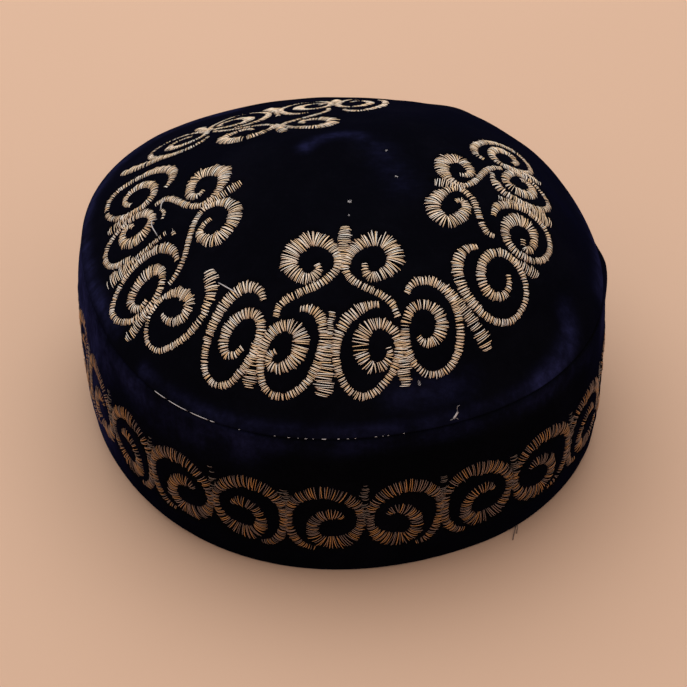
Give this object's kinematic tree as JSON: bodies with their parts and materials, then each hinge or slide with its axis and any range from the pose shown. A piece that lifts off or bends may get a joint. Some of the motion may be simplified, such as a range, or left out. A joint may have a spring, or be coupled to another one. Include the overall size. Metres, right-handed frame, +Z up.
{
  "type": "tubeteika skullcap",
  "caption": "Round velvet skullcap with a low domed crown sewn to an upright side band, open below for the head, with scroll embroidery.",
  "frame": {"origin": "on the ground under the middle of the rim", "axes": "+Z up from the rim to the top of the crown, -Y towards the front, the side that the picture shows, +X to the picture's right"},
  "size_m": [0.1905, 0.191, 0.1154],
  "materials": {
    "crown_velvet": "dark navy cotton velvet, worn pile with a bluish sheen",
    "band_velvet": "dark navy cotton velvet",
    "crown_thread": "champagne gold satin stitch",
    "band_thread": "copper gold satin stitch",
    "filler_thread": "grey-brown thin stitches",
    "seam_thread": "white sewing thread"
  },
  "bodies": {
    "root": {"crown": "crown_velvet", "side_band": "band_velvet"}
  },
  "joints": []
}
